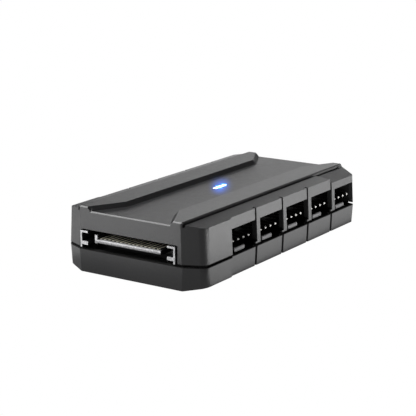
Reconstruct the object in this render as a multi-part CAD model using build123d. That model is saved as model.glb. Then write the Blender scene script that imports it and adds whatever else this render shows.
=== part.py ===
from build123d import *
import os
from math import radians, tan

os.makedirs("parts", exist_ok=True)

# Driving dimensions, in millimetres and degrees.
# The hub lies on its underside with its long axis along Y and its power plug towards -Y.
# The origin is under the middle of the housing.

# Housing, outside
housing_width = 43.4  # over the pads beside the power plug, at the parting line
housing_height = 17.6
parting_height = 6.3  # upper edge of the base
parting_gap = 0.5  # shadow gap between the shells
side_draft = 2.8
end_draft = 0.6
base_side_draft = 2.3
base_end_draft = 2.6
near_facet_x = 5.6
near_facet_y = 2.5
far_facet_x = 5.0
far_facet_y = 1.4
pad_proud = 0.6  # how far the near pads stand out from the port faces
pad_ramp = 0.6  # length over which a pad steps back to the port faces
pad_margin = 0.4  # from that step to the first window
facet_edge_radius = 2.6
corner_radius = 0.5
far_corner_chamfer = 0.4
top_edge_chamfer = 0.3
wall = 1.5

# Ports along each long side
port_count = 5
port_pitch = 13.65
groove_width = 0.8  # upright joint line beside each port
groove_depth = 0.9
groove_foot = 0.6  # web that closes a groove at the lower edge of the top cover
base_groove_width = 1.0
pillar_width = 1.6
window_height = 6.5
last_window_drop = 0.35  # the window under the steep pad is lower
header_offset = 0.3  # header middle beyond the window middle
near_section = 15.4  # from the plug end to the first window
far_section = 1.75  # from the last window to the far end

# Top of the housing: two ridges, a flared recess between them and a shoulder outside each
ridge_half_width = 16.05
ridge_chamfer = 0.3
line_width = 0.6  # dark joint line between ridge and shoulder
line_depth = 1.3
line_setback = 2.5  # the joint line stops this much before the far end
shoulder_drop = 0.54
shoulder_slope = 9.5
steep_pad_drop = 0.85
steep_pad_slope = 22.0
steep_pad_skew = 1.2  # the inner end of the steep pad starts this much nearer the plug
recess_depth = 1.1
recess_wall_angle = 45.0
recess_end_half_width = 13.7
recess_mid_half_width = 8.4
flare_length = 10.0
flare_radius = 3.0
top_wall = 1.8  # under the recess floor

# Underside
underside_half_width = 16.0  # flat part, between the sloped margins
underside_slope = 11.0
base_floor = 1.8
ledge_width = 1.2  # step in the walls that the board lies on
lip_width = 0.75
lip_height = 1.5
lip_clearance = 0.1

# Circuit board and the screws that clamp it
board_thickness = 1.6
board_drop = 0.8  # board top below the parting line
board_clearance = 0.3
boss_diameter = 4.6
post_diameter = 6.4
screw_diameter = 2.1
screw_head_diameter = 4.4
screw_head_height = 1.3
screw_length = 9.0
screw_head_inset = 0.3  # head below the underside
screw_clearance = 0.15
driver_slot_width = 0.7
driver_slot_depth = 0.7
boss_clearance = 0.4

# Four-way right-angle headers
pin_pitch = 2.54
pin_count = 4
pin_size = 0.64
pin_tip_chamfer = 0.2
pin_bend = 0.4  # slope across the outside of the bend
pin_height = 4.03  # pin axis above the board
pin_reach = 7.5  # bare length in front of the header body
pin_recess = 1.17  # pin tips inside the port face
tail_gap = 0.6  # from the header body to the upright part of the pin
tail_length = 1.4  # below the board
pin_hole_diameter = 1.05
pin_hole_sides = 6
header_depth = 3.2
header_height = 6.7
tongue_width = 4.8
tongue_thickness = 0.8
tongue_offset = 0.2  # tongue middle beyond the second pin
tongue_below_pins = 2.2
tongue_beyond_tips = 0.15
tongue_ramp = 0.3
tongue_ramp_length = 1.2

# Fifteen-way power plug
plug_offset = -0.5  # plug axis from the middle of the housing
blade_offset = 0.2  # blade axis from the plug axis
plug_proud = 0.5
plug_width = 29.7
plug_depth = 9.6
plug_back_depth = 2.5
plug_back_height = 5.5
plug_window_offset = -0.4
plug_window_width = 30.1
plug_window_height = 4.8
plug_window_radius = 0.4
blade_width = 20.57
blade_thickness = 1.2
blade_height = 3.0  # blade underside above the board
blade_lead = 0.3
key_width = 0.8
key_height = 2.2
guide_wall = 0.5
guide_lip = 2.4
guide_foot_thickness = 0.9
guide_foot_rise = 0.8  # foot above the lower end of the guide's outer wall
guide_bottom = 1.35  # guides above the board
guide_height = 4.45
contact_count = 15
contact_pitch = 1.27
contact_width = 0.6
contact_thickness = 0.25
contact_proud = 0.06
contact_setback = 0.7  # from the blade's front edge
contact_foot = 0.9

# Status light
light_offset_x = -0.1
light_offset_y = 0.45
light_length = 5.7
light_width = 1.0
light_corner = 0.3
light_clearance = 0.05
light_flange = 0.9
light_flange_thickness = 0.8
lamp_length = 3.2
lamp_width = 1.6
lamp_height = 0.9
lamp_bevel = 0.2
lamp_gap = 0.5

# Other parts on the board
capacitor_diameter = 6.3
capacitor_height = 5.8
capacitor_base = 6.6
capacitor_base_height = 0.9
capacitor_rim = 0.4
capacitor_spacing = 8.2
capacitor_gap = 1.6  # from the near boss
chip_length = 8.7
chip_width = 3.9
chip_height = 1.5
chip_lead_count = 7
chip_lead_pitch = 1.27
chip_lead_width = 0.4
chip_lead_reach = 1.0
chip_lead_height = 0.7
chip_gap = 5.0  # from the light pipe
resistor_length = 2.0
resistor_width = 1.25
resistor_height = 0.6
resistor_count = 4
resistor_spacing = 2.6
resistor_gap = 3.0  # from the light pipe

# Worked-out places
margin = 3.0  # how far cutting shapes run past the surfaces they cut
same_place = 0.15  # edges with middles nearer than this are the same edge
window_width = port_pitch - groove_width - pillar_width
housing_length = near_section + port_count * port_pitch - groove_width - pillar_width + far_section
half_width = housing_width / 2
half_length = housing_length / 2
port_face_x = half_width - pad_proud
outside_x = half_width + margin
first_window_y = near_section - half_length
port_y = [first_window_y + window_width / 2 + i * port_pitch for i in range(port_count)]
groove_y = [y + window_width / 2 for y in port_y[:-1]]
shell_bottom = parting_height + parting_gap
window_top = shell_bottom + window_height
recess_floor = housing_height - recess_depth
floor_end_half_width = recess_end_half_width - recess_depth / tan(radians(recess_wall_angle))
ceiling = recess_floor - top_wall
board_top = parting_height - board_drop
board_bottom = board_top - board_thickness
pin_z = board_top + pin_height
header_front = -pin_recess - pin_reach
header_back = header_front - header_depth
tail_x = header_back - tail_gap
plug_front = -half_length - plug_proud
plug_back = plug_front + plug_depth
contact_end = plug_back + contact_thickness + contact_foot
near_boss_y = contact_end + boss_clearance + boss_diameter / 2
far_boss_y = half_length + tail_x - pin_size - boss_clearance - post_diameter / 2
boss_places = [(0, near_boss_y), (0, far_boss_y)]


def lean(z, upper_draft, lower_draft):
    """How far a drafted face lies in from its place at the parting line, at height z."""
    draft = upper_draft if z > parting_height else lower_draft
    return abs(z - parting_height) * tan(radians(draft))


def outline(z, inset=0.0):
    """Plan of the housing at height z, moved in from its faces by an inset."""
    x = half_width - lean(z, side_draft, base_side_draft)
    y = half_length - lean(z, end_draft, base_end_draft)
    pad_end = first_window_y - pad_margin
    right = [
        (x - near_facet_x, -y),
        (x, -y + near_facet_y),
        (x, pad_end - pad_ramp),
        (x - pad_proud, pad_end),
        (x - pad_proud, y - far_facet_y),
        (x - pad_proud - far_facet_x, y),
    ]
    left = [(-px, py) for px, py in reversed(right)]
    face = make_face(Polyline(*right, *left, close=True))
    if inset:
        face = offset(face, amount=-inset, kind=Kind.INTERSECTION)
    return Pos(0, 0, z) * face


def flat_sided(low, high, inset=0.0):
    """Block between the plans at two heights, with plane sides."""
    block = loft([outline(low, inset).face(), outline(high, inset).face()], ruled=True)
    return Solid(Shell([Face(face.outer_wire()) for face in block.faces()]))


def drafted_block(low, high):
    """Solid housing block between two heights, with its upright corners rounded."""
    block = flat_sided(low, high)
    upright = block.edges().filter_by(lambda e: e.bounding_box().size.Z > (high - low) / 2)
    near = upright.filter_by(lambda e: e.center().Y < near_facet_y - half_length + pad_ramp)
    soft = near.filter_by(lambda e: abs(e.center().X) > half_width - near_facet_x / 2)
    crisp = near.filter_by(lambda e: abs(e.center().X) < half_width - near_facet_x / 2)
    far = upright.filter_by(lambda e: e.center().Y > half_length - far_facet_y - pad_ramp)
    block = fillet(soft, facet_edge_radius)
    block = fillet(matching(block, crisp), corner_radius)
    return chamfer(matching(block, far), far_corner_chamfer)


def matching(body, edges):
    """The edges of a body that lie where the given edges were."""
    centres = [edge.center() for edge in edges]
    return body.edges().filter_by(lambda e: any((e.center() - c).length < same_place for c in centres))


def port_face(z):
    """Distance of the drafted port faces from the middle plane at height z."""
    return port_face_x - lean(z, side_draft, base_side_draft)


def both_sides(shape):
    """A shape and its mirror image on the other long side."""
    return shape + mirror(shape, about=Plane.YZ)


def lengthwise(points, start, end):
    """Prism along Y with a section given as X and Z pairs."""
    section = Plane.XZ * make_face(Polyline(*points, close=True))
    return Pos(0, end, 0) * extrude(section, amount=end - start)


def crosswise(points, half):
    """Prism along X, as far to each side of the middle plane, with a section given as Y and Z pairs."""
    section = Plane.YZ * make_face(Polyline(*points, close=True))
    return extrude(section, amount=half, both=True)


def side_slot(start, end, low, high):
    """Upright slot in a drafted port face, as deep at every height."""
    points = [
        (port_face(low) - groove_depth, low),
        (outside_x, low),
        (outside_x, high),
        (port_face(high) - groove_depth, high),
    ]
    return lengthwise(points, start, end)


def upright_cylinder(place, diameter, low, high):
    """Cylinder standing at an X and Y place, between two heights."""
    middle = (low + high) / 2
    return Pos(place[0], place[1], middle) * Cylinder(diameter / 2, high - low)


def block_between(low, high):
    """Box between two corners."""
    size = [b - a for a, b in zip(low, high)]
    centre = [(a + b) / 2 for a, b in zip(low, high)]
    return Pos(*centre) * Box(*size)


def ridge_and_shoulder_cut():
    """What is taken off outside a ridge: its chamfer, the sloping shoulder and the joint line between them."""
    top = housing_height + margin
    shoulder_z = housing_height - shoulder_drop
    outer_z = shoulder_z - (outside_x - ridge_half_width) * tan(radians(shoulder_slope))
    points = [
        (ridge_half_width - ridge_chamfer - margin, top),
        (ridge_half_width, housing_height - ridge_chamfer),
        (ridge_half_width, shoulder_z),
        (outside_x, outer_z),
        (outside_x, top),
    ]
    shoulder = lengthwise(points, -half_length - margin, half_length + margin)
    line_low = (ridge_half_width, -half_length - margin, housing_height - line_depth)
    line_high = (ridge_half_width + line_width, half_length - line_setback, top)
    return shoulder + block_between(line_low, line_high)


def steep_pad_cut():
    """The lower, steeper shoulder over the last port on the right."""
    inner_x = ridge_half_width + line_width / 2
    inner_z = housing_height - steep_pad_drop
    outer_z = inner_z - (outside_x - inner_x) * tan(radians(steep_pad_slope))
    top = housing_height + margin
    far = half_length + margin
    start = groove_y[-1]
    section = [(inner_x, inner_z), (outside_x, outer_z), (outside_x, top), (inner_x, top)]
    plan = [(inner_x, start - steep_pad_skew), (port_face_x, start), (outside_x, start)]
    plan += [(outside_x, far), (inner_x, far)]
    limit = extrude(make_face(Polyline(*plan, close=True)), amount=top)
    return lengthwise(section, start - steep_pad_skew, far) & limit


def recess_cut():
    """Shallow recess between the ridges, flaring out to both ends, with sloping walls."""
    flare = (recess_end_half_width - recess_mid_half_width) / flare_length
    end_x = recess_end_half_width + flare * margin
    end_y = half_length + margin
    bend_y = half_length - flare_length
    right = [(end_x, -end_y), (recess_mid_half_width, -bend_y)]
    right += [(recess_mid_half_width, bend_y), (end_x, end_y)]
    left = [(-x, y) for x, y in reversed(right)]
    plan = make_face(Polyline(*right, *left, close=True))
    bends = plan.vertices().filter_by(lambda v: abs(v.Y) < half_length)
    plan = fillet(bends, flare_radius)
    return extrude(Pos(0, 0, housing_height) * plan, amount=-recess_depth, taper=recess_wall_angle)


def port_windows(last_drop):
    """Openings for the fan plugs along one long side, open at the lower edge and into the joint lines."""
    inside = port_face(ceiling) - wall - margin
    windows = []
    for y in port_y:
        top = window_top - (last_drop if y == port_y[-1] else 0)
        low = (inside, y - window_width / 2, parting_height)
        windows.append(block_between(low, (outside_x, y + window_width / 2, top)))
    for y in groove_y:
        low = (inside, y, shell_bottom + groove_foot)
        windows.append(block_between(low, (outside_x, y + groove_width, window_top)))
    return windows


def end_window(centre, width, height, start, end):
    """Opening with rounded upper corners through an end wall, open at the lower edge."""
    plan = RectangleRounded(width, 2 * height, plug_window_radius)
    section = Plane.XZ * Pos(centre, shell_bottom) * plan
    return Pos(0, end, 0) * extrude(section, amount=end - start)


def plug_window():
    """Opening for the power plug in the near end wall."""
    inner_y = -half_length + wall + margin
    start = -half_length - margin
    return end_window(plug_window_offset, plug_window_width, plug_window_height, start, inner_y)


def signal_window():
    """Opening for the signal plug in the far end wall."""
    return end_window(0, window_width, window_height, half_length - wall - margin, half_length + margin)


def light_slot():
    """Slot in the recess floor for the light pipe."""
    plan = RectangleRounded(light_width, light_length, light_corner)
    place = Pos(light_offset_x, light_offset_y, ceiling - margin)
    return extrude(place * offset(plan, amount=light_clearance), amount=top_wall + 2 * margin)


def top_cover():
    """Moulded top shell."""
    body = drafted_block(shell_bottom, housing_height)
    body -= both_sides(ridge_and_shoulder_cut())
    body -= steep_pad_cut()
    body -= recess_cut()
    for bevel in (end_bevel(housing_height, half_width), end_bevel(recess_floor, floor_end_half_width)):
        body -= bevel + mirror(bevel, about=Plane.XZ)
    body -= flat_sided(shell_bottom, ceiling, wall)
    rebate = outline(shell_bottom, wall - lip_width - lip_clearance)
    body -= extrude(rebate, amount=lip_height - parting_gap + lip_clearance)
    for window in port_windows(last_window_drop):
        body -= window
    for window in port_windows(0):
        body -= mirror(window, about=Plane.YZ)
    for y in groove_y:
        slot = side_slot(y, y + groove_width, shell_bottom + groove_foot, housing_height + margin)
        body -= both_sides(slot)
    body -= plug_window()
    body -= signal_window()
    for place in boss_places:
        body += upright_cylinder(place, boss_diameter, board_top, ceiling + top_wall / 2)
        pilot_top = screw_head_inset + screw_head_height + screw_length + margin / 2
        body -= upright_cylinder(place, screw_diameter + screw_clearance, board_top, pilot_top)
    body -= light_slot()
    return body


def end_bevel(level, half):
    """What is taken off the upper edge of the near end, at the level of the ridges or of the recess floor."""
    end_y = lean(level, end_draft, base_end_draft) - half_length
    points = [
        (end_y - margin, level - top_edge_chamfer - margin),
        (end_y + top_edge_chamfer + margin, level + margin),
        (end_y - margin, level + margin),
    ]
    return crosswise(points, half)


def base_cover():
    """Moulded lower shell with the lip that locates the top cover."""
    body = drafted_block(0, parting_height)
    edge_z = (outside_x - underside_half_width) * tan(radians(underside_slope))
    under = [(underside_half_width, 0), (outside_x, edge_z)]
    under += [(outside_x, -margin), (underside_half_width, -margin)]
    body -= both_sides(lengthwise(under, -half_length - margin, half_length + margin))
    body -= flat_sided(base_floor, board_bottom, wall + ledge_width)
    body -= flat_sided(board_bottom, parting_height, wall)
    body += locating_lip()
    for y in groove_y:
        end = y + groove_width
        slot = side_slot(end - base_groove_width, end, -margin, parting_height + margin)
        body -= both_sides(slot)
    for place in boss_places:
        body += upright_cylinder(place, post_diameter, base_floor / 2, board_bottom)
        body -= upright_cylinder(place, screw_diameter + 2 * screw_clearance, -margin, board_bottom)
        head = screw_head_diameter + 2 * screw_clearance
        body -= upright_cylinder(place, head, -margin, screw_head_inset + screw_head_height)
    return body


def locating_lip():
    """Rim inside the base's upper edge, left out where plugs pass through the walls."""
    ring = outline(parting_height, wall - lip_width) - outline(parting_height, wall)
    lip = extrude(ring, amount=lip_height)
    low = first_window_y - pad_margin
    last = port_y[-1] + window_width / 2
    ports = block_between((-outside_x, low, parting_height), (outside_x, last, window_top))
    return lip - ports - plug_window() - signal_window()


def circuit_board(places):
    """Board with its screw holes and the pin holes of every header."""
    board = extrude(outline(board_bottom, wall + board_clearance), amount=board_thickness)
    for place in boss_places:
        board -= upright_cylinder(place, screw_diameter + 2 * screw_clearance, board_bottom, board_top)
    hole = RegularPolygon(pin_hole_diameter / 2, pin_hole_sides, major_radius=False)
    for header_place in places:
        for y in pin_rows():
            board -= header_place * Pos(tail_x, y, board_bottom) * extrude(hole, amount=board_thickness)
    return board


def pin_rows():
    """Pin positions across a header, from its middle."""
    return [(i - (pin_count - 1) / 2) * pin_pitch for i in range(pin_count)]


def header_pin(y):
    """One square pin, bent down to the board, with a tapered tip."""
    half = pin_size / 2
    reach = block_between((tail_x - half, y - half, pin_z - half), (-pin_recess, y + half, pin_z + half))
    tail_end = board_bottom - tail_length
    tail = block_between((tail_x - half, y - half, tail_end), (tail_x + half, y + half, pin_z + half))
    pin = reach + tail
    bend = pin.edges().filter_by(Axis.Y).sort_by(lambda e: e.center().Z - e.center().X)[-1]
    pin = chamfer(bend, pin_bend)
    return chamfer(pin.faces().sort_by(Axis.X)[-1].edges(), pin_tip_chamfer)


def header_body(pins):
    """Header moulding with its locking tongue below the pins, pierced by them."""
    half_header = pin_count * pin_pitch / 2
    low = (header_back, -half_header, board_top)
    body = block_between(low, (header_front, half_header, board_top + header_height))
    tip = -pin_recess + tongue_beyond_tips
    upper = pin_z - tongue_below_pins
    lower = upper - tongue_thickness
    points = [
        (header_front - header_depth / 2, lower),
        (tip, lower),
        (tip, upper),
        (tip - tongue_ramp, upper + tongue_ramp),
        (tip - tongue_ramp_length, upper + tongue_ramp),
        (tip - tongue_ramp_length, upper),
        (header_front - header_depth / 2, upper),
    ]
    middle = pin_rows()[1] + tongue_offset
    body += lengthwise(points, middle - tongue_width / 2, middle + tongue_width / 2)
    for pin in pins:
        body -= pin
    return body


def sata_contacts():
    """Contact strips along the blade, through the plug's back and down to the board."""
    top = board_top + blade_height + blade_thickness + contact_proud
    bottom = top - contact_thickness
    heel = plug_back + contact_thickness
    points = [
        (plug_front + contact_setback, bottom),
        (plug_back, bottom),
        (plug_back, board_top),
        (heel + contact_foot, board_top),
        (heel + contact_foot, board_top + contact_thickness),
        (heel, board_top + contact_thickness),
        (heel, top),
        (plug_front + contact_setback, top),
    ]
    strip = crosswise(points, contact_width / 2)
    first = plug_offset + blade_offset - (contact_count - 1) / 2 * contact_pitch
    return [Pos(first + i * contact_pitch, 0, 0) * strip for i in range(contact_count)]


def sata_plug_body(contacts):
    """Plug moulding: back wall on the board, keyed blade and two channel-shaped guides."""
    half_plug = plug_width / 2
    back_front = plug_back - plug_back_depth
    back_top = board_top + plug_back_height
    body = block_between((-half_plug, back_front, board_top), (half_plug, plug_back, back_top))
    inside = plug_back - plug_back_depth / 2
    blade_low = board_top + blade_height
    blade_top = blade_low + blade_thickness
    half_blade = blade_width / 2
    points = [
        (plug_front, blade_low + blade_lead),
        (plug_front + blade_lead, blade_low),
        (inside, blade_low),
        (inside, blade_top),
        (plug_front + blade_lead, blade_top),
        (plug_front, blade_top - blade_lead),
    ]
    key_x = blade_offset - half_blade
    key_top = blade_low + key_height
    body += Pos(blade_offset, 0, 0) * crosswise(points, half_blade)
    body += block_between((key_x, plug_front, blade_low), (key_x + key_width, inside, key_top))
    guide_low = board_top + guide_bottom
    guide_top = guide_low + guide_height
    lip_x = half_plug - guide_lip
    lip_low = guide_top - guide_wall
    foot_low = guide_low + guide_foot_rise
    foot_top = foot_low + guide_foot_thickness
    guide = block_between((half_plug - guide_wall, plug_front, guide_low), (half_plug, inside, guide_top))
    guide += block_between((lip_x, plug_front, lip_low), (half_plug, inside, guide_top))
    guide += block_between((lip_x, plug_front, foot_low), (half_plug, inside, foot_top))
    body += both_sides(guide)
    body = Pos(plug_offset, 0, 0) * body
    for contact in contacts:
        body -= contact
    return body


def light_pipe():
    """Clear bar from the recess floor down to the lamp, with a flange under the ceiling."""
    place = Pos(light_offset_x, light_offset_y, 0)
    bar_low = board_top + lamp_height + lamp_gap
    flange_low = ceiling - light_flange_thickness
    lens = extrude(RectangleRounded(light_width, light_length, light_corner), amount=top_wall)
    bar = extrude(Rectangle(light_width, light_length), amount=flange_low - bar_low)
    flange = Rectangle(light_width + 2 * light_flange, light_length + 2 * light_flange)
    pipe = Pos(0, 0, ceiling) * lens + Pos(0, 0, bar_low) * bar
    pipe += Pos(0, 0, flange_low) * extrude(flange, amount=light_flange_thickness)
    return place * pipe


def status_led():
    """Lamp on the board under the light pipe, with a sloped lens."""
    lens = extrude(Rectangle(lamp_width, lamp_length), amount=lamp_height)
    lens = chamfer(lens.faces().sort_by(Axis.Z)[-1].edges(), lamp_bevel)
    return Pos(light_offset_x, light_offset_y, board_top) * lens


def filter_capacitor(y):
    """Aluminium can capacitor on its square foot."""
    foot = extrude(Rectangle(capacitor_base, capacitor_base), amount=capacitor_base_height)
    can = extrude(Circle(capacitor_diameter / 2), amount=capacitor_height)
    can = chamfer(can.edges().sort_by(Axis.Z)[-1], capacitor_rim)
    return Pos(0, y, board_top) * (foot + can)


def speed_buffer_chip():
    """Flat chip with a row of leads along each long edge."""
    lead_z = chip_lead_height / 2
    body = extrude(Rectangle(chip_width, chip_length), amount=chip_height)
    for i in range(chip_lead_count):
        y = (i - (chip_lead_count - 1) / 2) * chip_lead_pitch
        reach = chip_width / 2 + chip_lead_reach
        low = (-reach, y - chip_lead_width / 2, 0)
        body += block_between(low, (reach, y + chip_lead_width / 2, lead_z))
    centre_y = light_offset_y + light_length / 2 + chip_gap + chip_length / 2
    return Pos(0, centre_y, board_top) * body


def chip_resistors():
    """Row of small resistors between the light pipe and the capacitors."""
    row_y = light_offset_y - light_length / 2 - resistor_gap - resistor_length / 2
    resistor = extrude(Rectangle(resistor_width, resistor_length), amount=resistor_height)
    middle = (resistor_count - 1) / 2
    return [Pos((i - middle) * resistor_spacing, row_y, board_top) * resistor for i in range(resistor_count)]


def case_screw(place):
    """Cheese-headed screw with a cross slot, driven up from the underside."""
    shoulder = screw_head_inset + screw_head_height
    screw = upright_cylinder(place, screw_head_diameter, screw_head_inset, shoulder)
    screw += upright_cylinder(place, screw_diameter, shoulder, shoulder + screw_length)
    slot_length = screw_head_diameter - 2 * driver_slot_width
    for length, width in ((slot_length, driver_slot_width), (driver_slot_width, slot_length)):
        slot = Box(length, width, 2 * driver_slot_depth)
        screw -= Pos(place[0], place[1], screw_head_inset) * slot
    return screw


header_y = [y + header_offset for y in port_y]
right_places = [Pos(port_face_x, y, 0) for y in header_y]
left_places = [Pos(-port_face_x, y, 0) * Rot(0, 0, 180) for y in header_y]
signal_place = Pos(0, half_length, 0) * Rot(0, 0, 90)
pins = [header_pin(y) for y in pin_rows()]
header = header_body(pins)
contacts = sata_contacts()
capacitor_y = near_boss_y + boss_diameter / 2 + capacitor_gap + capacitor_base / 2

nodes = {
    "base_cover": base_cover(),
    "circuit_board": circuit_board(right_places + left_places + [signal_place]),
    "sata_plug_body": sata_plug_body(contacts),
    "sata_contacts": Compound(children=contacts),
    "signal_header": signal_place * header,
    "signal_pins": Compound(children=[signal_place * pin for pin in pins]),
    "status_led": status_led(),
    "speed_buffer_chip": speed_buffer_chip(),
    "filter_capacitor_near": filter_capacitor(capacitor_y),
    "filter_capacitor_far": filter_capacitor(capacitor_y + capacitor_spacing),
    "chip_resistors": Compound(children=chip_resistors()),
    "light_pipe": light_pipe(),
    "top_cover": top_cover(),
    "case_screws": Compound(children=[case_screw(place) for place in boss_places]),
}
for side, places in (("right", right_places), ("left", left_places)):
    for number, place in enumerate(places, start=1):
        nodes[f"fan_header_{side}_{number}"] = place * header
        nodes[f"fan_pins_{side}_{number}"] = Compound(children=[place * pin for pin in pins])

for name, shape in nodes.items():
    export_step(shape, f"parts/{name}.step")
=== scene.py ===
from math import radians

import bpy
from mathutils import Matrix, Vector


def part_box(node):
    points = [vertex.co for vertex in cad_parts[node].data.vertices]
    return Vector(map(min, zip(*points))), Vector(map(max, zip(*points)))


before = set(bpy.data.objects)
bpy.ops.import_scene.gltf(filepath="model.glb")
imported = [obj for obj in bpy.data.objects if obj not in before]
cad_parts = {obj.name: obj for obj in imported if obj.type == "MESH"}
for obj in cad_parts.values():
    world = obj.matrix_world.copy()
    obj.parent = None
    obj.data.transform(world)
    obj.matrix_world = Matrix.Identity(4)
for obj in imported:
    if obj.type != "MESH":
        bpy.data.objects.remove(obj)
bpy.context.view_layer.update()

# Base cover
# The lower half of the housing, injection moulded in charcoal ABS. The spark-eroded tool gives it a fine even
# grain and small edge radii. The inside, the rim and the bottoms of the port grooves carry painted shade,
# near black.
mm = 0.001
shell_charcoal = (0.020, 0.020, 0.021, 1)
shell_charcoal_light = (0.025, 0.025, 0.026, 1)
# Painted sheen: a paler charcoal standing in for the light falling on the right ridge.
shell_painted_sheen = (0.058, 0.058, 0.059, 1)
# Painted shade: near black standing in for the shade inside the shells, in the joint lines and along the rim.
shell_painted_shade = (0.002, 0.002, 0.002, 1)
shell_flow_size = 18 * mm
shell_rub_size = 1.6 * mm
shell_shine = (0.34, 0.42)
shell_inside_roughness = 1.0
shell_edge_radius = 0.12 * mm
spark_grain = 0.34 * mm
spark_depth = 0.038 * mm
# Boxes that get the painted shade: the shadow line at the rim, the inside of the tray and the port openings.
base_rim = ((-23 * mm, -43 * mm, 6.1 * mm), (23 * mm, 43 * mm, 9 * mm))
base_tray = ((-19.5 * mm, -38.8 * mm, 1.5 * mm), (19.5 * mm, 39.8 * mm, 6.4 * mm))
base_joints = ((-20.5 * mm, -26.4 * mm, 1.2 * mm), (20.5 * mm, 39.2 * mm, 6.4 * mm))
noise_low = 0.3
noise_high = 0.7
noise_detail = 2.0
weld_gap = 0.0005 * mm
flat_angle = radians(0.5)
sharp_angle = radians(25)
edge_steps = 2


def start_material(name):
    """Material with a single shader, its object coordinates and a function that joins two sockets."""
    material = bpy.data.materials.new(name)
    material.use_nodes = True
    nodes = material.node_tree.nodes
    nodes.clear()
    output = nodes.new("ShaderNodeOutputMaterial")
    shader = nodes.new("ShaderNodeBsdfPrincipled")
    place = nodes.new("ShaderNodeTexCoord").outputs["Object"]
    join = material.node_tree.links.new
    join(shader.outputs["BSDF"], output.inputs["Surface"])
    return material, nodes, join, shader, place


def noise_over(nodes, join, place, size):
    """Noise whose lumps are about the given size."""
    noise = nodes.new("ShaderNodeTexNoise")
    noise.inputs["Scale"].default_value = 1 / size
    noise.inputs["Detail"].default_value = noise_detail
    join(place, noise.inputs["Vector"])
    return noise.outputs["Fac"]


def colour_between(nodes, join, factor, first, second):
    """Colour that runs from the first to the second as a noise goes from low to high."""
    ramp = nodes.new("ShaderNodeValToRGB")
    ramp.color_ramp.elements[0].position = noise_low
    ramp.color_ramp.elements[1].position = noise_high
    ramp.color_ramp.elements[0].color = first
    ramp.color_ramp.elements[1].color = second
    join(factor, ramp.inputs["Fac"])
    return ramp.outputs["Color"]


def value_between(nodes, join, factor, low, high):
    """Number that runs from low to high as the factor goes from 0 to 1."""
    scale = nodes.new("ShaderNodeMapRange")
    scale.inputs["To Min"].default_value = low
    scale.inputs["To Max"].default_value = high
    join(factor, scale.inputs["Value"])
    return scale.outputs["Result"]


def bump_from(nodes, join, height, depth, shader):
    """Relief of the given depth on the shader's surface."""
    bump = nodes.new("ShaderNodeBump")
    bump.inputs["Strength"].default_value = 1.0
    bump.inputs["Distance"].default_value = depth
    join(height, bump.inputs["Height"])
    join(bump.outputs["Normal"], shader.inputs["Normal"])


def larger(nodes, join, first, second):
    """The larger of two numbers."""
    both = nodes.new("ShaderNodeMath")
    both.operation = "MAXIMUM"
    join(first, both.inputs[0])
    join(second, both.inputs[1])
    return both.outputs["Value"]


def within(nodes, join, place, low, high):
    """1 inside the box between two corners and 0 outside it."""
    centre = Vector(low).lerp(Vector(high), 0.5)
    away = nodes.new("ShaderNodeVectorMath")
    away.operation = "SUBTRACT"
    away.inputs[1].default_value = centre
    join(place, away.inputs[0])
    share = nodes.new("ShaderNodeVectorMath")
    share.operation = "DIVIDE"
    share.inputs[1].default_value = Vector(high) - centre
    join(away.outputs["Vector"], share.inputs[0])
    size = nodes.new("ShaderNodeVectorMath")
    size.operation = "ABSOLUTE"
    join(share.outputs["Vector"], size.inputs[0])
    split = nodes.new("ShaderNodeSeparateXYZ")
    join(size.outputs["Vector"], split.inputs["Vector"])
    flat = larger(nodes, join, split.outputs["X"], split.outputs["Y"])
    most = larger(nodes, join, flat, split.outputs["Z"])
    inside = nodes.new("ShaderNodeMath")
    inside.operation = "LESS_THAN"
    inside.inputs[1].default_value = 1.0
    join(most, inside.inputs[0])
    return inside.outputs["Value"]


def within_any(nodes, join, place, boxes):
    """1 inside any of the boxes and 0 outside them all."""
    found = within(nodes, join, place, *boxes[0])
    for low, high in boxes[1:]:
        found = larger(nodes, join, found, within(nodes, join, place, low, high))
    return found


def blend(nodes, join, factor, first, second):
    """Colour mixed from two others, each a colour or a socket."""
    mix = nodes.new("ShaderNodeMix")
    mix.data_type = "RGBA"
    join(factor, mix.inputs["Factor"])
    for colour, socket in ((first, mix.inputs["A"]), (second, mix.inputs["B"])):
        if isinstance(colour, tuple):
            socket.default_value = colour
        else:
            join(colour, socket)
    return mix.outputs["Result"]


def moulded_shell(name, painted_shade_boxes, painted_sheen_boxes=()):
    """Spark-eroded charcoal plastic, with painted shade, near black, inside some boxes and a painted sheen,
    paler, inside others.
    """
    material, nodes, join, shader, place = start_material(name)
    flow = noise_over(nodes, join, place, shell_flow_size)
    colour = colour_between(nodes, join, flow, shell_charcoal, shell_charcoal_light)
    # Painted sheen: paler inside these boxes.
    if painted_sheen_boxes:
        colour = blend(nodes, join, within_any(nodes, join, place, painted_sheen_boxes), colour, shell_painted_sheen)
    # Painted shade: near black inside these boxes, where shade falls.
    inside = within_any(nodes, join, place, painted_shade_boxes)
    join(blend(nodes, join, inside, colour, shell_painted_shade), shader.inputs["Base Color"])
    rub = noise_over(nodes, join, place, shell_rub_size)
    shine = nodes.new("ShaderNodeMix")
    join(inside, shine.inputs["Factor"])
    join(value_between(nodes, join, rub, *shell_shine), shine.inputs["A"])
    shine.inputs["B"].default_value = shell_inside_roughness
    join(shine.outputs["Result"], shader.inputs["Roughness"])
    grain = noise_over(nodes, join, place, spark_grain)
    bump_from(nodes, join, grain, spark_depth, shader)
    return material


def dress(node, material):
    """Gives a solid its finish."""
    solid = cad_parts[node]
    solid.data.materials.clear()
    solid.data.materials.append(material)
    return solid


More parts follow.
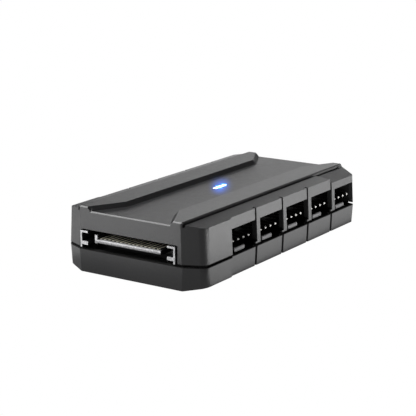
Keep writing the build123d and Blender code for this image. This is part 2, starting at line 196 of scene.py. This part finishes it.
def soften_edges(solid, radius):
    """Rounds every sharp edge of a solid by a small radius."""
    weld = solid.modifiers.new("weld", "WELD")
    weld.merge_threshold = weld_gap
    flat = solid.modifiers.new("flat_faces", "DECIMATE")
    flat.decimate_type = "DISSOLVE"
    flat.angle_limit = flat_angle
    bevel = solid.modifiers.new("edge_radius", "BEVEL")
    bevel.width = radius
    bevel.segments = edge_steps
    bevel.limit_method = "ANGLE"
    bevel.angle_limit = sharp_angle
    bevel.harden_normals = True


base_finish = moulded_shell("base_charcoal", [base_rim, base_tray, base_joints])
soften_edges(dress("base_cover", base_finish), shell_edge_radius)

# Circuit board
# Glass-epoxy board with a black solder mask. It lies on the ledge inside the base, clamped by the top cover's
# bosses, and little of it shows through the port windows.
mask_black = (0.004, 0.004, 0.004, 1)
mask_black_light = (0.007, 0.007, 0.007, 1)
mask_flow_size = 6 * mm
mask_roughness = 0.7
weave_size = 0.4 * mm
weave_depth = 0.004 * mm


def solder_mask():
    """Black solder mask with the faint ripple of the weave below it."""
    material, nodes, join, shader, place = start_material("solder_mask")
    flow = noise_over(nodes, join, place, mask_flow_size)
    join(colour_between(nodes, join, flow, mask_black, mask_black_light), shader.inputs["Base Color"])
    shader.inputs["Roughness"].default_value = mask_roughness
    weave = noise_over(nodes, join, place, weave_size)
    bump_from(nodes, join, weave, weave_depth, shader)
    return material


dress("circuit_board", solder_mask())

# Power plug
# Back wall on the board, keyed blade and two guide arms, moulded in one of glass-filled black plastic. The
# front rims carry a painted highlight, pale with specks of the glass, and the lower half of the blade's rim
# carries painted shade.
plug_black = (0.012, 0.012, 0.013, 1)
# Painted highlight: pale colours standing in for the light caught by the front rims.
plug_rim_highlight = (0.26, 0.26, 0.27, 1)
plug_rim_highlight_bright = (0.66, 0.66, 0.67, 1)
# Painted shade: darker colours for the shaded lower half of the blade's rim.
plug_shade = (0.03, 0.03, 0.031, 1)
plug_shade_light = (0.34, 0.34, 0.35, 1)
plug_shine = (0.3, 0.45)
plug_rim_depth = 0.12 * mm
plug_edge_radius = 0.05 * mm
fibre_size = 0.5 * mm
# Box where the rim gets the painted shade in place of the painted highlight.
blade_lower_edge = ((-10.8 * mm, -43 * mm, 8.2 * mm), (10.8 * mm, -38 * mm, 9.15 * mm))


def beyond(nodes, join, place, axis, start, end):
    """Runs from 0 to 1 between two distances from the middle of the object along an axis."""
    split = nodes.new("ShaderNodeSeparateXYZ")
    join(place, split.inputs["Vector"])
    out = nodes.new("ShaderNodeMath")
    out.operation = "ABSOLUTE"
    join(split.outputs[axis], out.inputs[0])
    share = nodes.new("ShaderNodeMapRange")
    share.inputs["From Min"].default_value = start
    share.inputs["From Max"].default_value = end
    join(out.outputs["Value"], share.inputs["Value"])
    return share.outputs["Result"]


def plug_moulding():
    """Black plastic with a painted highlight on the front rims and painted shade on the lower half of the
    blade's rim.
    """
    material, nodes, join, shader, place = start_material("plug_black")
    front = -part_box("sata_plug_body")[0][1]
    rim = beyond(nodes, join, place, "Y", front - plug_rim_depth, front - plug_rim_depth / 2)
    fibre = noise_over(nodes, join, place, fibre_size)
    rim_highlight = colour_between(nodes, join, fibre, plug_rim_highlight, plug_rim_highlight_bright)
    shaded = colour_between(nodes, join, fibre, plug_shade, plug_shade_light)
    # Painted highlight on the rims, with painted shade on the lower half of the blade's rim.
    front_colour = blend(nodes, join, within(nodes, join, place, *blade_lower_edge), rim_highlight, shaded)
    join(blend(nodes, join, rim, plug_black, front_colour), shader.inputs["Base Color"])
    join(value_between(nodes, join, fibre, *plug_shine), shader.inputs["Roughness"])
    return material


soften_edges(dress("sata_plug_body", plug_moulding()), plug_edge_radius)

# Power contacts
# Fifteen stamped copper-alloy strips, gold plated over nickel and set in the top of the plug's blade.
# Use has dulled the gold, so it is pale and mirrors little.
contact_gold = (0.90, 0.86, 0.70, 1)
contact_gold_dull = (0.76, 0.72, 0.58, 1)
contact_shine = (0.5, 0.65)
contact_metal = 0.4
plating_flow_size = 0.8 * mm
rolling_mark_size = 0.12 * mm
rolling_mark_depth = 0.003 * mm


def plated_metal(name, bright, dull, shine, metallic=1.0):
    """Plated metal with faint rolling marks and small differences in shine."""
    material, nodes, join, shader, place = start_material(name)
    flow = noise_over(nodes, join, place, plating_flow_size)
    join(colour_between(nodes, join, flow, dull, bright), shader.inputs["Base Color"])
    shader.inputs["Metallic"].default_value = metallic
    join(value_between(nodes, join, flow, *shine), shader.inputs["Roughness"])
    marks = noise_over(nodes, join, place, rolling_mark_size)
    bump_from(nodes, join, marks, rolling_mark_depth, shader)
    return material


contact_finish = plated_metal("contact_gold", contact_gold, contact_gold_dull, contact_shine, contact_metal)
dress("sata_contacts", contact_finish)

# Port headers
# Black nylon bodies with a locking tongue below the pins, held to the board by them: five on each long side
# and one for the speed signal at the far end. The tongues' fronts, where the plugs latch, carry a painted
# highlight in grey.
nylon_black = (0.003, 0.003, 0.003, 1)
nylon_black_light = (0.006, 0.006, 0.006, 1)
# Painted highlight: grey standing in for the light caught by the fronts.
nylon_painted_highlight = (0.30, 0.30, 0.305, 1)
nylon_flow_size = 3 * mm
nylon_shine = (0.85, 0.95)
nylon_grain = 0.15 * mm
nylon_grain_depth = 0.004 * mm
nylon_edge_radius = 0.06 * mm
front_highlight_depth = 0.3 * mm
sides = ("right", "left")
ports_on_a_side = 5
ports = [f"{side}_{number + 1}" for side in sides for number in range(ports_on_a_side)]


def black_nylon(name, axis, front):
    """Matt black nylon with a painted highlight, grey, close to its front."""
    material, nodes, join, shader, place = start_material(name)
    flow = noise_over(nodes, join, place, nylon_flow_size)
    # Painted highlight: a grey band close to the front.
    front_highlight = beyond(nodes, join, place, axis, front - front_highlight_depth, front - front_highlight_depth / 2)
    plain = colour_between(nodes, join, flow, nylon_black, nylon_black_light)
    join(blend(nodes, join, front_highlight, plain, nylon_painted_highlight), shader.inputs["Base Color"])
    join(value_between(nodes, join, flow, *nylon_shine), shader.inputs["Roughness"])
    grain = noise_over(nodes, join, place, nylon_grain)
    bump_from(nodes, join, grain, nylon_grain_depth, shader)
    return material


port_nylon = black_nylon("nylon_port", "X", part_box("fan_header_right_1")[1][0])
for port in ports:
    soften_edges(dress(f"fan_header_{port}", port_nylon), nylon_edge_radius)
signal_nylon = black_nylon("nylon_signal", "Y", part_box("signal_header")[1][1])
soften_edges(dress("signal_header", signal_nylon), nylon_edge_radius)

# Port pins
# Square brass pins, tin plated, each bent down through the board. The tapered tips carry a painted highlight,
# and behind them the tin carries painted shade.
# Painted highlight on the tips and painted shade on the pins behind them.
tin_painted_highlight = (0.30, 0.295, 0.285, 1)
tin_painted_shade = (0.10, 0.095, 0.085, 1)
tin_shine = (0.2, 0.36)
tip_length = 0.7 * mm


def tinned_pins(name, axis, tip):
    """Tin plate with a painted highlight close to the tips and painted shade behind."""
    material, nodes, join, shader, place = start_material(name)
    # Painted highlight close to the tips, painted shade behind.
    tip_highlight = beyond(nodes, join, place, axis, tip - tip_length, tip - tip_length / 2)
    join(blend(nodes, join, tip_highlight, tin_painted_shade, tin_painted_highlight), shader.inputs["Base Color"])
    shader.inputs["Metallic"].default_value = 1.0
    smear = noise_over(nodes, join, place, plating_flow_size)
    join(value_between(nodes, join, smear, *tin_shine), shader.inputs["Roughness"])
    marks = noise_over(nodes, join, place, rolling_mark_size)
    bump_from(nodes, join, marks, rolling_mark_depth, shader)
    return material


port_tin = tinned_pins("tin_port", "X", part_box("fan_pins_right_1")[1][0])
for port in ports:
    dress(f"fan_pins_{port}", port_tin)
dress("signal_pins", tinned_pins("tin_signal", "Y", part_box("signal_pins")[1][1]))

# Board parts
# The buffer chip in black epoxy, the glazed chip resistors, the lamp and the two aluminium can capacitors,
# all soldered to the board and shut in by the shells.
epoxy_black = (0.014, 0.014, 0.015, 1)
epoxy_black_light = (0.022, 0.022, 0.022, 1)
epoxy_shine = (0.45, 0.6)
glaze_shine = (0.2, 0.3)
lamp_yellow = (0.75, 0.72, 0.42, 1)
lamp_white = (0.82, 0.82, 0.78, 1)
lamp_shine = (0.25, 0.35)
can_bright = (0.78, 0.78, 0.80, 1)
can_dull = (0.62, 0.62, 0.64, 1)
can_shine = (0.25, 0.4)
body_flow_size = 0.9 * mm


def moulded_body(name, dark, light, shine):
    """Plain moulded or glazed body with small differences in colour and shine."""
    material, nodes, join, shader, place = start_material(name)
    flow = noise_over(nodes, join, place, body_flow_size)
    join(colour_between(nodes, join, flow, dark, light), shader.inputs["Base Color"])
    join(value_between(nodes, join, flow, *shine), shader.inputs["Roughness"])
    return material


dress("speed_buffer_chip", moulded_body("chip_epoxy", epoxy_black, epoxy_black_light, epoxy_shine))
dress("chip_resistors", moulded_body("resistor_glaze", epoxy_black, epoxy_black_light, glaze_shine))
dress("status_led", moulded_body("lamp_body", lamp_yellow, lamp_white, lamp_shine))
can_finish = plated_metal("capacitor_can", can_bright, can_dull, can_shine)
dress("filter_capacitor_near", can_finish)
dress("filter_capacitor_far", can_finish)

# Light pipe
# Clear acrylic bar, held by a flange under the top cover's ceiling and lit from below by the lamp. Its top
# face is flush with the recess and shows as a bar of blue light, so strong that it looks white.
acrylic_clear = (0.8, 0.88, 1.0, 1)
acrylic_roughness = 0.2
glow_blue = (0.30, 0.40, 1.0, 1)
glow_pale = (0.36, 0.46, 1.0, 1)
glow_patch_size = 1.5 * mm
glow_strength = 8.0
glow_depth = 0.15 * mm


def lit_acrylic():
    """Acrylic whose top face is lit, a little unevenly."""
    material, nodes, join, shader, place = start_material("lit_acrylic")
    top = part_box("light_pipe")[1][2]
    face = beyond(nodes, join, place, "Z", top - glow_depth, top - glow_depth / 2)
    join(value_between(nodes, join, face, 0.0, glow_strength), shader.inputs["Emission Strength"])
    spread = noise_over(nodes, join, place, glow_patch_size)
    join(colour_between(nodes, join, spread, glow_blue, glow_pale), shader.inputs["Emission Color"])
    shader.inputs["Base Color"].default_value = acrylic_clear
    shader.inputs["Roughness"].default_value = acrylic_roughness
    return material


dress("light_pipe", lit_acrylic())

# Top cover
# The upper half of the housing, moulded in the same charcoal ABS and screwed down from below. The inside, the
# port openings, the foot and the joint lines' bottoms carry painted shade, near black, and the right ridge
# carries a painted sheen, paler.
cover_hollow = ((-19.5 * mm, -38.8 * mm, 0), (19.5 * mm, 39.8 * mm, 14.75 * mm))
low_openings = ((-20.75 * mm, -26.4 * mm, 7 * mm), (20.75 * mm, 39.2 * mm, 11 * mm))
high_openings = ((-20.45 * mm, -26.4 * mm, 11 * mm), (20.45 * mm, 39.2 * mm, 14.9 * mm))
right_line = ((16.0 * mm, -39.5 * mm, 15 * mm), (16.7 * mm, 25.5 * mm, 16.5 * mm))
left_line = ((-16.7 * mm, -39.5 * mm, 15 * mm), (-16.0 * mm, 39.2 * mm, 16.5 * mm))
cover_foot = ((-23 * mm, -43 * mm, 6.5 * mm), (23 * mm, 43 * mm, 7.0 * mm))
# Painted sheen: the right ridge is painted paler for the light falling on it.
right_ridge = ((8 * mm, -43 * mm, 17.2 * mm), (16.05 * mm, 43 * mm, 18 * mm))
# Painted shade: boxes painted near black where shade falls inside, at the foot and in the joint lines.
cover_painted_shade_boxes = [cover_hollow, low_openings, high_openings, cover_foot, right_line, left_line]
cover_finish = moulded_shell("top_charcoal", cover_painted_shade_boxes, [right_ridge])
soften_edges(dress("top_cover", cover_finish), shell_edge_radius)

# Case screws
# Two blackened steel screws with cross-slot heads, driven up through the base and the board into the top
# cover's bosses.
steel_black = (0.10, 0.10, 0.105, 1)
steel_black_light = (0.17, 0.17, 0.18, 1)
steel_shine = (0.3, 0.45)
dress("case_screws", plated_metal("screw_steel", steel_black_light, steel_black, steel_shine))

# Studio
# A white table that stays white to the horizon, soft panels behind, overhead and in front, and lit cards laid
# on the table round the object. Together they light the ports' side more than the near end.
white = (1, 1, 1, 1)
black = (0, 0, 0, 1)
table_size = 6.0
table_drop = 0.05 * mm
table_white = 1.0
table_return = 0.42
room_light = 0.02
card_height = 0.5 * mm
panel_base = 9 * mm


def table_top():
    """Large white table that looks brighter than the light it throws back on the object."""
    bpy.ops.mesh.primitive_plane_add(size=table_size, location=(0, 0, -table_drop))
    table = bpy.context.active_object
    table.name = "table_top"
    material, nodes, join, shader = start_material("table_white")[:4]
    seen = nodes.new("ShaderNodeLightPath").outputs["Is Camera Ray"]
    join(value_between(nodes, join, seen, table_return, table_white), shader.inputs["Emission Strength"])
    shader.inputs["Emission Color"].default_value = white
    shader.inputs["Base Color"].default_value = black
    shader.inputs["Specular IOR Level"].default_value = 0.0
    table.data.materials.append(material)


def soft_light(name, width, height, watts):
    """Rectangular soft light that the camera doesn't see."""
    data = bpy.data.lights.new(name, "AREA")
    data.shape = "RECTANGLE"
    data.size = width
    data.size_y = height
    data.energy = watts
    light = bpy.data.objects.new(name, data)
    light.visible_camera = False
    bpy.context.scene.collection.objects.link(light)
    return light


def panel(name, toward, distance, size, watts):
    """Square soft panel out along a direction, facing the object."""
    light = soft_light(name, size, size, watts)
    out = Vector(toward).normalized()
    light.location = out * distance + Vector((0, 0, panel_base))
    light.rotation_euler = (-out).to_track_quat("-Z", "Y").to_euler()


def card(name, low, high, watts):
    """Lit card flat on the table between two corners."""
    light = soft_light(name, high[0] - low[0], high[1] - low[1], watts)
    light.location = ((low[0] + high[0]) / 2, (low[1] + high[1]) / 2, card_height)
    light.rotation_euler = (radians(180), 0, 0)


def backdrop():
    """World that is white to the camera and gives the object only a little light."""
    world = bpy.data.worlds.new("studio")
    world.use_nodes = True
    nodes = world.node_tree.nodes
    join = world.node_tree.links.new
    seen = nodes.new("ShaderNodeLightPath").outputs["Is Camera Ray"]
    nodes["Background"].inputs["Color"].default_value = white
    level = value_between(nodes, join, seen, room_light, table_white)
    join(level, nodes["Background"].inputs["Strength"])
    bpy.context.scene.world = world


table_top()
panel("back_left_panel", toward=(-0.539, 0.831, 0.139), distance=2.0, size=0.6, watts=1.7)
panel("back_high_panel", toward=(-0.243, 0.908, 0.342), distance=2.0, size=0.6, watts=1.9)
panel("overhead_panel", toward=(-0.54, -0.24, 0.81), distance=0.9, size=0.6, watts=11.0)
panel("front_panel", toward=(-0.15, -0.9, 0.4), distance=1.0, size=0.6, watts=3.0)
card("right_edge_card", low=(22.5 * mm, -34 * mm), high=(28 * mm, 90 * mm), watts=0.0025)
card("right_near_card", low=(28 * mm, -34 * mm), high=(50 * mm, 90 * mm), watts=0.0115)
card("right_card", low=(45 * mm, -30 * mm), high=(110 * mm, 60 * mm), watts=0.089)
card("right_back_card", low=(45 * mm, 60 * mm), high=(180 * mm, 320 * mm), watts=0.33)
card("left_card", low=(-110 * mm, -60 * mm), high=(-28 * mm, 90 * mm), watts=0.029)
card("front_card", low=(-120 * mm, -160 * mm), high=(0, -60 * mm), watts=0.115)
backdrop()
bpy.context.scene.view_settings.view_transform = "Standard"

# Camera
# Placed, turned and given its lens so that the housing and its two standard connectors fall where they do in
# the photograph. Its glass adds a blue halo round the lit slot.
camera_place = (190.707 * mm, -293.252 * mm, 98.191 * mm)
camera_height_angle = 14.078
camera_round_angle = 33.546
camera_lens = 112.49
camera_sensor = 36
camera_near_limit = 0.01
halo_blue = (0.05, 0.35, 1.0, 1)
halo_threshold = 3.0
halo_smoothness = 0.1
halo_strength = 6.5
halo_size = 0.03


def lens_glow():
    """The camera's own blue halo round the lit slot."""
    bpy.context.scene.use_nodes = True
    tree = bpy.context.scene.node_tree
    tree.nodes.clear()
    picture = tree.nodes.new("CompositorNodeRLayers")
    glare = tree.nodes.new("CompositorNodeGlare")
    result = tree.nodes.new("CompositorNodeComposite")
    glare.glare_type = "BLOOM"
    glare.inputs["Highlights Threshold"].default_value = halo_threshold
    glare.inputs["Highlights Smoothness"].default_value = halo_smoothness
    glare.inputs["Strength"].default_value = halo_strength
    glare.inputs["Tint"].default_value = halo_blue
    glare.inputs["Size"].default_value = halo_size
    tree.links.new(picture.outputs["Image"], glare.inputs["Image"])
    tree.links.new(glare.outputs["Image"], result.inputs["Image"])


lens_glow()
camera_data = bpy.data.cameras.new("camera")
camera_data.sensor_width = camera_sensor
camera_data.lens = camera_lens
camera_data.clip_start = camera_near_limit
camera = bpy.data.objects.new("camera", camera_data)
camera.location = camera_place
camera.rotation_euler = (radians(90 - camera_height_angle), 0, radians(camera_round_angle))
bpy.context.scene.collection.objects.link(camera)
bpy.context.scene.camera = camera
